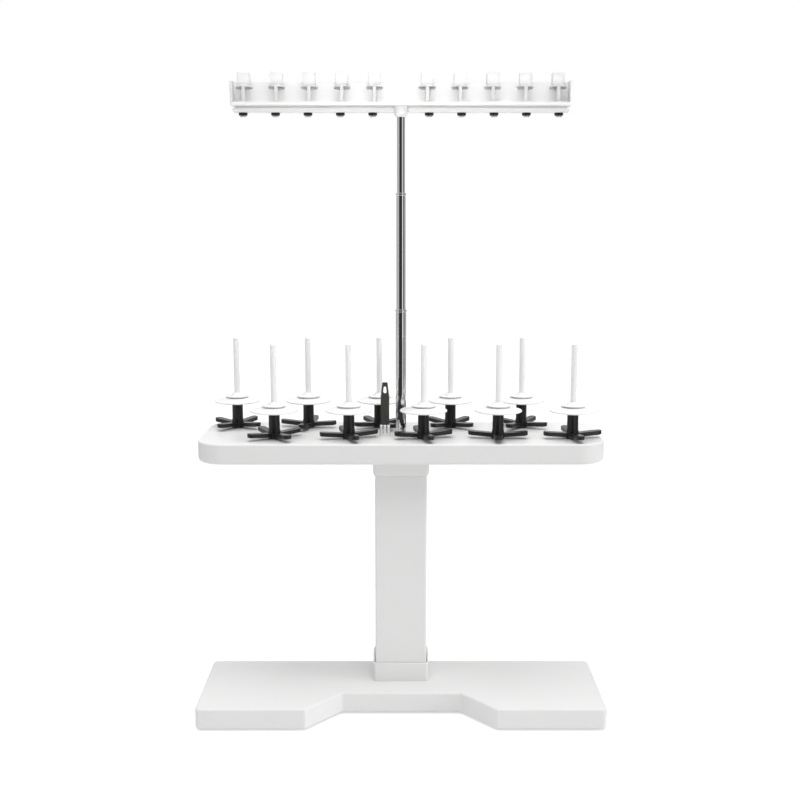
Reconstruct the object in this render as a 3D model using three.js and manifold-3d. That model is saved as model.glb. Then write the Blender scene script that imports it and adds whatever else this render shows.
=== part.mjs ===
// Ten-spool thread stand: a notched base, a boxy pillar and a tray that carries ten spool pins in two
// staggered rows, with a telescopic pole in the middle that holds a long thread-guide bar.
// Millimetres, +Z up. The origin lies on the floor, under the middle of the whole stand; the notched
// edge of the base faces -Y.
import * as THREE from 'three';
import { mergeVertices } from 'three/addons/utils/BufferGeometryUtils.js';
import Module from 'manifold-3d';

const wasm = await Module();
wasm.setup();

// Driving dimensions shared by several pieces
const fitGap = 0.3; // clearance between pieces that sit in or on each other
const caseWall = 2.5; // wall of the moulded base and tray
const coverThickness = 2; // plates that close base and tray from below
const cutOver = 1; // how far a cutter runs past what it cuts, and a joined piece into its neighbour
const sharpRadius = 0.2; // least rounding of an outline's corner
const screwHoleDiameter = 3.6;
const screwHoleDepth = 9;
const screwBossWall = 2.2;

// Base
const baseWidth = 420;
const baseDepth = 126;
const baseThickness = 21.4;
const baseCornerRadius = 5;
const baseEdgeRadius = 2;
const notchDepth = 39.6;
const notchFrontWidth = 195;
const notchBackWidth = 124;
const notchCornerRadius = 4;
const footDiameter = 16;
const footHeight = 2;
const footInset = 16; // from the base's edges to a foot's centre
const baseScrewInset = 34; // from the base's edges to a screw's centre

// Pillar, its socket on the base and its collar under the tray
const pillarSetback = 71.7; // from the base's front edge to the pillar's front face
const pillarWidth = 54.6;
const pillarDepth = 45;
const pillarWall = 2.2;
const pillarCornerRadius = 2;
const sleeveWall = 1.8; // wall of the socket and the collar
const sleeveGap = 0.5; // around the pillar inside the socket and the collar
const sleeveCornerRadius = 4;
const sleevePlate = 3; // floor of the socket and roof of the collar
const socketHeight = 20.3;
const collarHeight = 17.8;
const collarTaper = 1.2; // how far the collar's lower edge draws in
const collarTaperHeight = 4;
const latchHeight = 10; // spring tabs that stand up beside the pillar's foot
const latchWidth = 12;
const latchSetback = 6; // from the socket's front to the tabs
const sleeveScrewSpread = 30;

// Tray
const trayWidth = 420;
const trayDepth = 126;
const trayThickness = 21.5;
const trayCornerRadius = 27;
const trayTopEdgeRadius = 1.6;
const trayLowEdgeRadius = 4;
const traySetback = 42.3; // from the base's front edge to the tray's front edge
const trayLevel = 267.8; // underside of the tray above the floor
const trayScrewInset = 30;

// Spool stations
const stationsPerRow = 5;
const stationEndInset = 31.6; // from the tray's ends to the outermost pins
const rowSpacing = 61.8;
const rowStagger = 46.8; // the front row's shift to the right of the back row
const stationPitch = (trayWidth - 2 * stationEndInset - rowStagger) / (stationsPerRow - 1);
const pinDiameter = 6;
const pinHeight = 98.6; // above the tray
const pinTipChamfer = 1;
const pinShankDiameter = 5;
const pinShankLength = 10;
const pinBossWall = 2.2;
const pinBossLength = 12;
const holderHeight = 28.4;
const holderSleeveDiameter = 11.7;
const holderSleeveTopDiameter = 11.5;
const holderHubDiameter = 13.6;
const holderHubHeight = 5;
const holderArmCount = 4;
const holderTipGap = 15.5; // between the arms' tips of two neighbours in a row
const holderArmReach = (stationPitch - holderTipGap) / 2;
const holderArmWidth = 9;
const holderArmRootWidth = 8.4;
const holderArmThickness = 4.2;
const holderArmTipRadius = 4;
const holderArmLift = 1.2; // underside of an arm's root above the holder's foot
const holderArmRise = 2.6; // how much higher an arm's tip is than its root
const holderAngles = [57, 35, 80, 16, 32, 13, 48, 86, 57, 8]; // degrees, as each one happens to be turned
const capDiameter = 49;
const capThickness = 1.6;
const capNeckDiameter = 22;
const capNeckHeight = 4.2;
const capStepDiameter = 25.6;
const capStepThickness = 1;
const capConeDiameter = 15;
const capConeTopDiameter = 8.6;
const capConeHeight = 3.2;

// Telescopic pole
const poleUpperDiameter = 8.4;
const tubeWall = 0.4;
const tubeGap = 0.3; // between one tube and the next
const tubeOverlap = 22; // how far a tube reaches into the one below it when drawn out
const tubeRimHeight = 2.4; // rolled rim at the mouth of a tube
const tubeRimStep = 0.5;
const poleLowerReach = 131.7; // visible length of each tube when drawn out
const poleMiddleReach = 120;
const poleUpperReach = 76;
const poleSeatDepth = 17; // how deep the lower tube stands in the tray
const poleSeatWall = 3;
const poleCollarHeight = 1; // raised ring round the foot of the pole

// Guide finger beside the pole
const fingerShift = -1.45; // from the middle between two holders of the front row
const fingerOffsetY = -15.3; // from the pole
const fingerSocketWidth = 10.6;
const fingerSocketDepth = 10;
const fingerSocketHeight = 11.7;
const fingerSocketRadius = 1.6;
const fingerSocketChamfer = 1;
const fingerSlotWidth = 1.1;
const fingerSlotHeight = 9;
const fingerSlotSpacing = 4;
const fingerWidth = 9.2;
const fingerShoulderWidth = 9;
const fingerShoulderHeight = 29.5;
const fingerThickness = 4.2;
const fingerTipWidth = 5.4;
const fingerTipThickness = 2.6;
const fingerHeight = 44.6;
const fingerEyeWidth = 3.4;
const fingerEyeHeight = 7;
const fingerEyeDrop = 8; // from the tip to the middle of the eye
const fingerTenonWidth = 6.8;
const fingerTenonThickness = 3.2;
const fingerTenonLength = 8.5;

// Guide bar
const barWidth = 345.4;
const barDepth = 22;
const barWall = 2;
const barLipHeight = 3.5;
const barBackHeight = 24.8;
const barEndRadius = 2;
const skirtHeight = 6;
const skirtDepth = 12;
const skirtSideInset = 0.8;
const skirtWall = 1.4;
const barSocketDiameter = 14;
const barSocketChamfer = 2.4;
const barSocketDrop = 4.8; // how far the socket hangs below the skirt
const barSocketFlangeDiameter = 17;
const barSocketFlangeHeight = 2;
const barSocketBore = 8; // how far the upper tube stands in the socket

// Guide units on the bar
const guidesPerSide = 5;
const guideFirstOffset = 28.9; // from the pole to the innermost unit
const guideEndInset = 11.2; // from the bar's ends to the outermost unit
const guidePitch = (barWidth / 2 - guideEndInset - guideFirstOffset) / (guidesPerSide - 1);
const guideStemInset = 2.2; // the stem stands this much nearer the pole than its cap
const guideFootWidth = 9;
const guideFootHeight = 2;
const guideStemWidth = 4.4;
const guideStemThickness = 3.4;
const guideNeckDiameter = 2.6;
const guideDiscDiameter = 17;
const guideDiscThickness = 0.9;
const guideDiscGap = 0.5; // thread gap between the disc and the hood's flare
const guideDiscLevel = 17.2; // disc above the bar's underside
const guideFlareDiameter = 18;
const guideFlareHeight = 2.6;
const guideHoodWidth = 13;
const guideHoodDepth = 9;
const guideHoodHeight = 12;
const guideHoodWall = 1.3;
const guideCapDiameter = 9.5;
const guideCapHeight = 5.3;
const guideCapTipDiameter = 5.2;
const guideCapShoulderDiameter = 8.6;
const guideCapShoulderHeight = 1.9;
const guideCapShankDiameter = 4;

// Roundness of the facets
const arcSteps = 3;
const wideArcSteps = 6;
const boreSides = 10;
const tubeSides = 20;
const discSides = 20;
const eyeSides = 5; // in each half of the finger's eye
const edgeAngles = [0, 45, 90]; // degrees round a rounded edge

// Places worked out from the dimensions
const overallDepth = Math.max(traySetback + trayDepth, baseDepth);
const baseFront = -overallDepth / 2;
const baseBack = baseFront + baseDepth;
const baseLevel = footHeight + fitGap;
const baseTop = baseLevel + baseThickness;
const pillarFront = baseFront + pillarSetback;
const pillarCentreY = pillarFront + pillarDepth / 2;
const sleeveReach = sleeveGap + sleeveWall;
const socketBottom = baseTop + fitGap;
const socketTop = baseTop + socketHeight;
const pillarBottom = socketBottom + sleevePlate + fitGap;
const collarTop = trayLevel - fitGap;
const collarBottom = trayLevel - collarHeight;
const pillarTop = collarTop - sleevePlate - fitGap;
const trayTop = trayLevel + trayThickness;
const trayCentreY = baseFront + traySetback + trayDepth / 2;
const poleLowerTop = trayTop + poleLowerReach;
const poleMiddleTop = poleLowerTop + poleMiddleReach;
const poleUpperTop = poleMiddleTop + poleUpperReach; // where the upper tube enters the bar's socket
const poleMiddleDiameter = poleUpperDiameter + 2 * (tubeGap + tubeWall);
const poleLowerDiameter = poleMiddleDiameter + 2 * (tubeGap + tubeWall);
const skirtBottom = poleUpperTop + barSocketDrop;
const barBottom = skirtBottom + skirtHeight;
const barFloorTop = barBottom + barWall;
const barFrontY = trayCentreY - barDepth / 2;
const barBackY = trayCentreY + barDepth / 2;
const skirtCentreY = barBackY - skirtDepth / 2;

const whiteCase = { color: 0xf1f1ef, roughness: 0.42, metalness: 0 };
const whiteSmooth = { color: 0xf6f6f4, roughness: 0.3, metalness: 0 };
const blackPlastic = { color: 0x1c1c1d, roughness: 0.45, metalness: 0 };
const chromeSteel = { color: 0xc9cbcc, roughness: 0.12, metalness: 1 };
const clearPlastic = { color: 0xe9eef0, roughness: 0.1, metalness: 0 };
const darkRubber = { color: 0x2a2a2b, roughness: 0.8, metalness: 0 };

const stand = new THREE.Group();

// Adds one named piece to the stand.
function addPiece(name, solid, look) {
  const mesh = new THREE.Mesh(geometryOf(solid), new THREE.MeshStandardMaterial(look));
  mesh.name = name;
  stand.add(mesh);
}

// Closed solid from a geometry whose shared vertices are merged.
function solidOf(geometry) {
  const bare = new THREE.BufferGeometry();
  bare.setAttribute('position', geometry.getAttribute('position'));
  bare.setIndex(geometry.index);
  const merged = mergeVertices(bare, 1e-4);
  const corners = merged.index.array;
  const kept = [];
  for (let i = 0; i < corners.length; i += 3) {
    const [a, b, c] = corners.slice(i, i + 3);
    if (a !== b && b !== c && c !== a) {
      kept.push(a, b, c);
    }
  }
  const triVerts = Uint32Array.from(kept);
  const vertProperties = merged.getAttribute('position').array;
  return new wasm.Manifold(new wasm.Mesh({ numProp: 3, vertProperties, triVerts }));
}

function geometryOf(solid) {
  const mesh = solid.getMesh();
  const geometry = new THREE.BufferGeometry();
  geometry.setAttribute('position', new THREE.BufferAttribute(mesh.vertProperties, 3));
  geometry.setIndex(new THREE.BufferAttribute(mesh.triVerts, 1));
  geometry.computeVertexNormals();
  return geometry;
}

// Box whose corner values are its middle in X and Y and its underside in Z.
function block(width, depth, height, x, y, z) {
  const geometry = new THREE.BoxGeometry(width, depth, height);
  return solidOf(geometry.translate(x, y, z + height / 2));
}

// Solid of revolution about a vertical axis; profile points are [radius, height].
function turned(profile, sides, x, y) {
  const points = profile.map(([radius, height]) => new THREE.Vector2(radius, height));
  const geometry = new THREE.LatheGeometry(points, sides);
  return solidOf(geometry.rotateX(Math.PI / 2).translate(x, y, 0));
}

function rod(radius, bottom, top, sides, x, y) {
  return turned([[0, bottom], [radius, bottom], [radius, top], [0, top]], sides, x, y);
}

// Points of an outline whose corners are {x, y, radius}, anticlockwise, with every edge moved
// inwards by inset. A left-hand corner is rounded outwards and a right-hand one inwards.
function outline(corners, inset, steps) {
  const points = [];
  corners.forEach((corner, i) => {
    const before = corners[(i + corners.length - 1) % corners.length];
    const after = corners[(i + 1) % corners.length];
    const arriving = new THREE.Vector2(corner.x - before.x, corner.y - before.y).normalize();
    const leaving = new THREE.Vector2(after.x - corner.x, after.y - corner.y).normalize();
    const side = Math.sign(arriving.cross(leaving));
    const turn = side * Math.acos(THREE.MathUtils.clamp(arriving.dot(leaving), -1, 1));
    const radius = Math.max(corner.radius - side * inset, sharpRadius);
    const reach = 1 / (1 + arriving.dot(leaving));
    const inwards = new THREE.Vector2(-arriving.y - leaving.y, arriving.x + leaving.x).multiplyScalar(reach);
    const centre = new THREE.Vector2(corner.x, corner.y).addScaledVector(inwards, inset + side * radius);
    const start = Math.atan2(-side * arriving.x, side * arriving.y);
    for (let k = 0; k <= steps; k++) {
      const angle = start + (turn * k) / steps;
      points.push(new THREE.Vector2(Math.cos(angle), Math.sin(angle)).multiplyScalar(radius).add(centre));
    }
  });
  return points;
}

// Closed solid through the same outline at several levels, each [height, inset], lowest first.
function stacked(corners, levels, steps = arcSteps) {
  const loops = levels.map(([, inset]) => outline(corners, inset, steps));
  const count = loops[0].length;
  const positions = loops.flatMap((loop, i) => loop.flatMap((point) => [point.x, point.y, levels[i][0]]));
  const index = [];
  for (const [a, b, c] of THREE.ShapeUtils.triangulateShape(loops[0], [])) {
    index.push(c, b, a);
  }
  const last = (loops.length - 1) * count;
  for (const [a, b, c] of THREE.ShapeUtils.triangulateShape(loops.at(-1), [])) {
    index.push(last + a, last + b, last + c);
  }
  for (let i = 0; i < last; i++) {
    const next = (i % count === count - 1) ? i + 1 - count : i + 1;
    index.push(i, next, next + count, i, next + count, i + count);
  }
  const geometry = new THREE.BufferGeometry();
  geometry.setAttribute('position', new THREE.Float32BufferAttribute(positions, 3));
  geometry.setIndex(index);
  return solidOf(geometry);
}

function rectangle(width, depth, radius, x, y) {
  const quadrants = [[-1, -1], [1, -1], [1, 1], [-1, 1]];
  return quadrants.map(([i, j]) => ({ x: x + (i * width) / 2, y: y + (j * depth) / 2, radius }));
}

// Levels of a plate whose lower and upper edges are rounded in short chamfers.
function roundedLevels(bottom, top, lowRadius, topRadius) {
  const turns = edgeAngles.map((angle) => THREE.MathUtils.degToRad(angle));
  const shortfalls = turns.map((angle) => [1 - Math.cos(angle), 1 - Math.sin(angle)]);
  const low = shortfalls.map(([across, along]) => [bottom + lowRadius * across, lowRadius * along]);
  const high = shortfalls.map(([across, along]) => [top - topRadius * along, topRadius * across]);
  return [...low, ...high];
}

function screwHole(x, y, bottom, top) {
  return rod(screwHoleDiameter / 2, bottom, top, boreSides, x, y);
}

// Hollow case that is open below, with a boss for each screw that comes up through its cover.
function hollowCase(corners, bottom, top, levels, steps, screws) {
  const roof = top - caseWall;
  const bossFoot = bottom + coverThickness + fitGap;
  const cavity = stacked(corners, [[bottom - cutOver, caseWall], [roof, caseWall]], steps);
  let solid = stacked(corners, levels, steps).subtract(cavity);
  for (const [x, y] of screws) {
    solid = solid.add(rod(screwHoleDiameter / 2 + screwBossWall, bossFoot, roof + cutOver, boreSides, x, y));
    solid = solid.subtract(screwHole(x, y, bossFoot - cutOver, bottom + screwHoleDepth));
  }
  return solid;
}

// Plate that fits inside the rim of a hollow case, flush with its underside.
function coverPlate(corners, bottom, steps, screws) {
  const inset = caseWall + fitGap;
  let solid = stacked(corners, [[bottom, inset], [bottom + coverThickness, inset]], steps);
  for (const [x, y] of screws) {
    solid = solid.subtract(screwHole(x, y, bottom - cutOver, bottom + coverThickness + cutOver));
  }
  return solid;
}

const sides = [-1, 1];
const poleX = 0;
const poleY = trayCentreY;

// Base: moulded shell with a trapezoid notch in its front edge, closed from below
const baseCorners = [
  { x: -baseWidth / 2, y: baseFront, radius: baseCornerRadius },
  { x: -notchFrontWidth / 2, y: baseFront, radius: notchCornerRadius },
  { x: -notchBackWidth / 2, y: baseFront + notchDepth, radius: notchCornerRadius },
  { x: notchBackWidth / 2, y: baseFront + notchDepth, radius: notchCornerRadius },
  { x: notchFrontWidth / 2, y: baseFront, radius: notchCornerRadius },
  { x: baseWidth / 2, y: baseFront, radius: baseCornerRadius },
  { x: baseWidth / 2, y: baseBack, radius: baseCornerRadius },
  { x: -baseWidth / 2, y: baseBack, radius: baseCornerRadius },
];
const baseScrews = sides.flatMap((side) => [
  [side * (baseWidth / 2 - baseScrewInset), baseFront + baseScrewInset],
  [side * (baseWidth / 2 - baseScrewInset), baseBack - baseScrewInset],
  [side * (notchBackWidth / 2), baseBack - baseScrewInset],
]);
const sleeveScrews = sides.map((side) => [(side * sleeveScrewSpread) / 2, pillarCentreY]);
const baseLevels = roundedLevels(baseLevel, baseTop, baseEdgeRadius, baseEdgeRadius);
let baseShell = hollowCase(baseCorners, baseLevel, baseTop, baseLevels, arcSteps, baseScrews);
for (const [x, y] of sleeveScrews) {
  baseShell = baseShell.subtract(screwHole(x, y, baseTop - caseWall - cutOver, baseTop + cutOver));
}
addPiece('base_shell', baseShell, whiteCase);
addPiece('base_cover', coverPlate(baseCorners, baseLevel, arcSteps, baseScrews), whiteCase);

const feet = sides.flatMap((side) => [
  [side * (baseWidth / 2 - footInset), baseFront + footInset],
  [side * (baseWidth / 2 - footInset), baseBack - footInset],
]);
feet.forEach(([x, y], i) => {
  addPiece(`base_foot_${i + 1}`, rod(footDiameter / 2, 0, footHeight, boreSides, x, y), darkRubber);
});

// Socket on the base: a rectangular sleeve with a floor and two spring tabs beside the pillar
const sleeveWidth = pillarWidth + 2 * sleeveReach;
const sleeveDepth = pillarDepth + 2 * sleeveReach;
const sleeveCorners = rectangle(sleeveWidth, sleeveDepth, sleeveCornerRadius, 0, pillarCentreY);
const pillarSpace = stacked(sleeveCorners, [
  [pillarBottom - fitGap, sleeveWall],
  [pillarTop + fitGap, sleeveWall],
]);
let pillarSocket = stacked(sleeveCorners, [[socketBottom, 0], [socketTop, 0]]);
const latchY = pillarCentreY - sleeveDepth / 2 + latchSetback + latchWidth / 2;
for (const side of sides) {
  const latchX = side * (sleeveWidth - sleeveWall) / 2;
  pillarSocket = pillarSocket.add(
    block(sleeveWall, latchWidth, latchHeight + cutOver, latchX, latchY, socketTop - cutOver),
  );
}
pillarSocket = pillarSocket.subtract(pillarSpace);
for (const [x, y] of sleeveScrews) {
  pillarSocket = pillarSocket.subtract(screwHole(x, y, socketBottom - cutOver, pillarBottom));
}
addPiece('pillar_socket', pillarSocket, whiteCase);

// Pillar: a three-sided front shell and a flat rear plate
const pillarCorners = rectangle(pillarWidth, pillarDepth, pillarCornerRadius, 0, pillarCentreY);
const rearPlateFront = pillarFront + pillarDepth - pillarWall;
function everythingBehind(y) {
  return block(2 * pillarWidth, pillarDepth, 2 * trayLevel, 0, y + pillarDepth / 2, 0);
}
const pillarBody = stacked(pillarCorners, [[pillarBottom, 0], [pillarTop, 0]]);
const pillarHollow = stacked(pillarCorners, [
  [pillarBottom - cutOver, pillarWall],
  [pillarTop + cutOver, pillarWall],
]);
const rearCut = everythingBehind(rearPlateFront - fitGap);
addPiece('pillar_front', pillarBody.subtract(pillarHollow).subtract(rearCut), whiteCase);
addPiece('pillar_rear', pillarBody.intersect(everythingBehind(rearPlateFront)), whiteCase);

// Collar under the tray: a sleeve with a roof, drawn in at its lower edge
let pillarCollar = stacked(sleeveCorners, [
  [collarBottom, collarTaper],
  [collarBottom + collarTaperHeight, 0],
  [collarTop, 0],
]);
pillarCollar = pillarCollar.subtract(pillarSpace);
for (const [x, y] of sleeveScrews) {
  pillarCollar = pillarCollar.subtract(screwHole(x, y, pillarTop, collarTop + cutOver));
}
addPiece('pillar_collar', pillarCollar, whiteCase);

// Stations: two rows, numbered from left to right, back row and front row in turn
const stations = [];
for (let i = 0; i < stationsPerRow; i++) {
  const along = (i - (stationsPerRow - 1) / 2) * stationPitch;
  stations.push([along - rowStagger / 2, trayCentreY + rowSpacing / 2]);
  stations.push([along + rowStagger / 2, trayCentreY - rowSpacing / 2]);
}

// Tray: moulded shell with a boss under each pin, a deep seat for the pole and a flush cover
const trayCorners = rectangle(trayWidth, trayDepth, trayCornerRadius, 0, trayCentreY);
const trayScrews = sides.flatMap((side) => [
  [side * (trayWidth / 2 - trayScrewInset), trayCentreY],
  [(side * stationPitch) / 2, trayCentreY - rowSpacing / 2 - holderHubDiameter / 2],
  [side * stationPitch, trayCentreY + rowSpacing / 2 + holderHubDiameter / 2],
]);
const trayLevels = roundedLevels(trayLevel, trayTop, trayLowEdgeRadius, trayTopEdgeRadius);
let trayShell = hollowCase(trayCorners, trayLevel, trayTop, trayLevels, wideArcSteps, trayScrews);
const pinHoleRadius = pinShankDiameter / 2 + fitGap;
for (const [x, y] of stations) {
  const bossFoot = trayTop - pinBossLength;
  const holeFoot = trayTop - pinShankLength - fitGap;
  trayShell = trayShell.add(rod(pinHoleRadius + pinBossWall, bossFoot, trayTop - cutOver, boreSides, x, y));
  trayShell = trayShell.subtract(rod(pinHoleRadius, holeFoot, trayTop + cutOver, boreSides, x, y));
}
const poleHoleRadius = poleLowerDiameter / 2 + fitGap;
const poleSeatRadius = poleHoleRadius + poleSeatWall;
const poleFoot = trayTop - poleSeatDepth;
const poleCollarTop = trayTop + poleCollarHeight;
const poleHole = rod(poleHoleRadius, poleFoot - fitGap, poleCollarTop + cutOver, tubeSides, poleX, poleY);
trayShell = trayShell.add(rod(poleSeatRadius, poleFoot - cutOver, poleCollarTop, tubeSides, poleX, poleY));
trayShell = trayShell.subtract(poleHole);
addPiece('tray_shell', trayShell, whiteCase);
let trayCover = coverPlate(trayCorners, trayLevel, wideArcSteps, trayScrews);
for (const [x, y] of sleeveScrews) {
  trayCover = trayCover.subtract(screwHole(x, y, trayLevel - cutOver, trayLevel + coverThickness + cutOver));
}
addPiece('tray_cover', trayCover, whiteCase);

// Spool pin: a plain rod whose thinner shank stands in the tray
const pinFoot = trayTop + fitGap;
const pinTop = trayTop + pinHeight;
function spoolPin(x, y) {
  const profile = [
    [0, trayTop - pinShankLength],
    [pinShankDiameter / 2, trayTop - pinShankLength],
    [pinShankDiameter / 2, pinFoot],
    [pinDiameter / 2, pinFoot],
    [pinDiameter / 2, pinTop - pinTipChamfer],
    [pinDiameter / 2 - pinTipChamfer, pinTop],
    [0, pinTop],
  ];
  return turned(profile, boreSides, x, y);
}

// Cone holder: a sleeve round the pin with paddle-shaped arms that rise towards their tips
const holderBoreRadius = pinDiameter / 2 + fitGap;
const holderFoot = trayTop + fitGap;
const holderTop = trayTop + holderHeight;
function holderArm() {
  const rootHalf = holderArmRootWidth / 2;
  const tipHalf = holderArmWidth / 2;
  const corners = [
    { x: 0, y: -rootHalf, radius: 0 },
    { x: holderArmReach, y: -tipHalf, radius: holderArmTipRadius },
    { x: holderArmReach, y: tipHalf, radius: holderArmTipRadius },
    { x: 0, y: rootHalf, radius: 0 },
  ];
  const armFoot = holderFoot + holderArmLift;
  const arm = geometryOf(stacked(corners, [[armFoot, 0], [armFoot + holderArmThickness, 0]]));
  const position = arm.getAttribute('position');
  for (let i = 0; i < position.count; i++) {
    position.setZ(i, position.getZ(i) + (holderArmRise * position.getX(i)) / holderArmReach);
  }
  return arm;
}

function coneHolder(x, y, angle) {
  let solid = turned([
    [0, holderFoot],
    [holderHubDiameter / 2, holderFoot],
    [holderHubDiameter / 2, holderFoot + holderHubHeight],
    [holderSleeveDiameter / 2, holderFoot + 2 * holderHubHeight],
    [holderSleeveTopDiameter / 2, holderTop],
    [0, holderTop],
  ], boreSides, 0, 0);
  for (let k = 0; k < holderArmCount; k++) {
    solid = solid.add(solidOf(holderArm().rotateZ((2 * Math.PI * k) / holderArmCount)));
  }
  solid = solid.subtract(rod(holderBoreRadius, holderFoot - cutOver, holderTop + cutOver, boreSides, 0, 0));
  return solidOf(geometryOf(solid).rotateZ(THREE.MathUtils.degToRad(angle)).translate(x, y, 0));
}

// Spool cap: a wide disc with a smaller one above it and a short cone, free to slide up the pin
const capFoot = holderTop + fitGap;
function spoolCap(x, y) {
  const stepFoot = capFoot + capThickness + capNeckHeight;
  const stepTop = stepFoot + capStepThickness;
  const profile = [
    [holderBoreRadius, capFoot],
    [capDiameter / 2, capFoot],
    [capDiameter / 2, capFoot + capThickness],
    [capNeckDiameter / 2, capFoot + capThickness],
    [capNeckDiameter / 2, stepFoot],
    [capStepDiameter / 2, stepFoot],
    [capStepDiameter / 2, stepTop],
    [capConeDiameter / 2, stepTop],
    [capConeTopDiameter / 2, stepTop + capConeHeight],
    [holderBoreRadius, stepTop + capConeHeight],
    [holderBoreRadius, capFoot],
  ];
  return turned(profile, discSides, x, y);
}

stations.forEach(([x, y], i) => {
  addPiece(`spool_pin_${i + 1}`, spoolPin(x, y), whiteSmooth);
  addPiece(`cone_holder_${i + 1}`, coneHolder(x, y, holderAngles[i % holderAngles.length]), blackPlastic);
  addPiece(`spool_cap_${i + 1}`, spoolCap(x, y), whiteSmooth);
});

// Telescopic pole: three chromed tubes, the two larger ones with a rolled rim at the mouth
function poleTube(diameter, bottom, top, rim) {
  const outer = diameter / 2;
  const inner = outer - tubeWall;
  const rimFoot = top - tubeRimHeight;
  const rimRadius = outer + tubeRimStep;
  const mouth = rim ? [[outer, rimFoot], [rimRadius, rimFoot], [rimRadius, top]] : [[outer, top]];
  const profile = [[inner, bottom], [outer, bottom], ...mouth, [inner, top], [inner, bottom]];
  return turned(profile, tubeSides, poleX, poleY);
}
const middleTubeFoot = poleLowerTop - tubeOverlap;
const upperTubeFoot = poleMiddleTop - tubeOverlap;
const upperTubeTop = poleUpperTop + barSocketBore;
addPiece('pole_lower', poleTube(poleLowerDiameter, poleFoot, poleLowerTop, true), chromeSteel);
addPiece('pole_middle', poleTube(poleMiddleDiameter, middleTubeFoot, poleMiddleTop, true), chromeSteel);
addPiece('pole_upper', poleTube(poleUpperDiameter, upperTubeFoot, upperTubeTop, false), chromeSteel);

// Guide finger: a tapered blade with an eye near its tip, stood in a slotted socket
const fingerX = (rowStagger - stationPitch) / 2 + fingerShift;
const fingerY = poleY + fingerOffsetY;
const fingerSocketFoot = trayTop + fitGap;
const fingerSocketTop = trayTop + fingerSocketHeight;
const tenonFoot = fingerSocketTop - fingerTenonLength;
let fingerSocket = stacked(
  rectangle(fingerSocketWidth, fingerSocketDepth, fingerSocketRadius, fingerX, fingerY),
  [
    [fingerSocketFoot, 0],
    [fingerSocketTop - fingerSocketChamfer, 0],
    [fingerSocketTop, fingerSocketChamfer],
  ],
);
fingerSocket = fingerSocket.subtract(block(
  fingerTenonWidth + 2 * fitGap, fingerTenonThickness + 2 * fitGap, fingerTenonLength + fitGap + cutOver,
  fingerX, fingerY, tenonFoot - fitGap,
));
for (const side of sides) {
  fingerSocket = fingerSocket.subtract(block(
    fingerSlotWidth, fingerSocketDepth / 2, fingerSlotHeight + cutOver,
    fingerX + (side * fingerSlotSpacing) / 2, fingerY - fingerSocketDepth / 4 - cutOver,
    fingerSocketTop - fingerSlotHeight,
  ));
}
addPiece('finger_socket', fingerSocket, whiteCase);

const fingerFoot = fingerSocketTop + fitGap;
const fingerTop = fingerFoot + fingerHeight;
function fingerBlade() {
  const shape = new THREE.Shape([
    new THREE.Vector2(-fingerWidth / 2, fingerFoot),
    new THREE.Vector2(fingerWidth / 2, fingerFoot),
    new THREE.Vector2(fingerShoulderWidth / 2, fingerFoot + fingerShoulderHeight),
    new THREE.Vector2(fingerTipWidth / 2, fingerTop),
    new THREE.Vector2(-fingerTipWidth / 2, fingerTop),
    new THREE.Vector2(-fingerShoulderWidth / 2, fingerFoot + fingerShoulderHeight),
  ]);
  const eye = new THREE.Path();
  eye.absellipse(0, fingerTop - fingerEyeDrop, fingerEyeWidth / 2, fingerEyeHeight / 2, 0, 2 * Math.PI);
  shape.holes.push(eye);
  const blade = new THREE.ExtrudeGeometry(shape, {
    depth: fingerThickness, bevelEnabled: false, curveSegments: eyeSides,
  });
  blade.translate(0, 0, -fingerThickness / 2);
  const position = blade.getAttribute('position');
  for (let i = 0; i < position.count; i++) {
    const climb = (position.getY(i) - fingerFoot) / fingerHeight;
    const thickness = THREE.MathUtils.lerp(fingerThickness, fingerTipThickness, climb);
    position.setZ(i, (position.getZ(i) * thickness) / fingerThickness);
  }
  return solidOf(blade.rotateX(Math.PI / 2).translate(fingerX, fingerY, 0));
}
const fingerTenon = block(
  fingerTenonWidth, fingerTenonThickness, fingerTenonLength + fitGap + cutOver, fingerX, fingerY, tenonFoot,
);
addPiece('thread_finger', fingerBlade().add(fingerTenon), blackPlastic);

// Guide bar: a long channel with a low front lip, high back and ends, and a set-back skirt below
const barCorners = rectangle(barWidth, barDepth, barEndRadius, poleX, poleY);
let guideBar = stacked(barCorners, [[barBottom, 0], [barBottom + barBackHeight, 0]]);
guideBar = guideBar.subtract(stacked(barCorners, [
  [barFloorTop, barWall],
  [barBottom + barBackHeight + cutOver, barWall],
]));
guideBar = guideBar.subtract(block(
  barWidth - 2 * barWall, 2 * barWall, barBackHeight, poleX, barFrontY, barBottom + barLipHeight,
));
const socketOpening = rod(
  barSocketDiameter / 2 + fitGap, skirtBottom - cutOver, barFloorTop + cutOver, tubeSides, poleX, poleY,
);
guideBar = guideBar.subtract(socketOpening);

const skirtTop = barBottom - fitGap;
const skirtWidth = barWidth - 2 * skirtSideInset;
const skirtCorners = rectangle(skirtWidth, skirtDepth, barEndRadius, poleX, skirtCentreY);
let barCover = stacked(skirtCorners, [[skirtBottom, 0], [skirtTop, 0]]);
barCover = barCover.subtract(stacked(skirtCorners, [
  [skirtBottom + skirtWall, skirtWall],
  [skirtTop + cutOver, skirtWall],
]));
barCover = barCover.subtract(socketOpening);

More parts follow.
